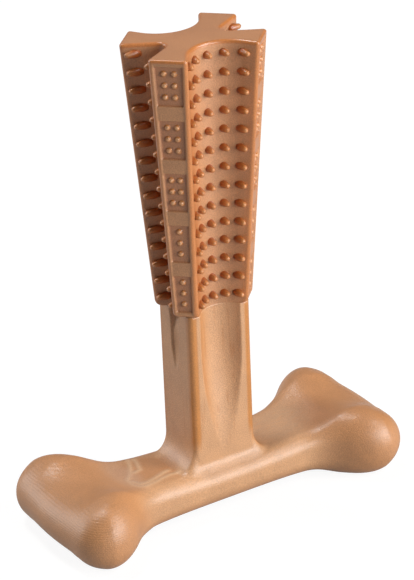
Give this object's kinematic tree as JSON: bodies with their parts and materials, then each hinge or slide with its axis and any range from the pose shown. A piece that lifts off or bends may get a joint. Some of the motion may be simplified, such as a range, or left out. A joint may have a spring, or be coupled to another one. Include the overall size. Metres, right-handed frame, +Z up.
{
  "type": "dog chew toothbrush",
  "caption": "Self-standing dog toothbrush: a bone-shaped base to hold under the paws, a fluted stem, and a four-lobed chewing head with rows of soft nubs in its channels.",
  "frame": {"origin": "on the ground under the middle of the bone, on the axis of stem and head", "axes": "+Z up along the stem, X along the bone, -Y towards the front"},
  "size_m": [0.1164, 0.0506, 0.1477],
  "materials": {
    "bone_nylon": "satin, finely speckled tan",
    "head_nylon": "satin amber tan, glossier nubs"
  },
  "bodies": {
    "root": {"bone_stem_core": "bone_nylon", "brush_head": "head_nylon"}
  },
  "joints": []
}
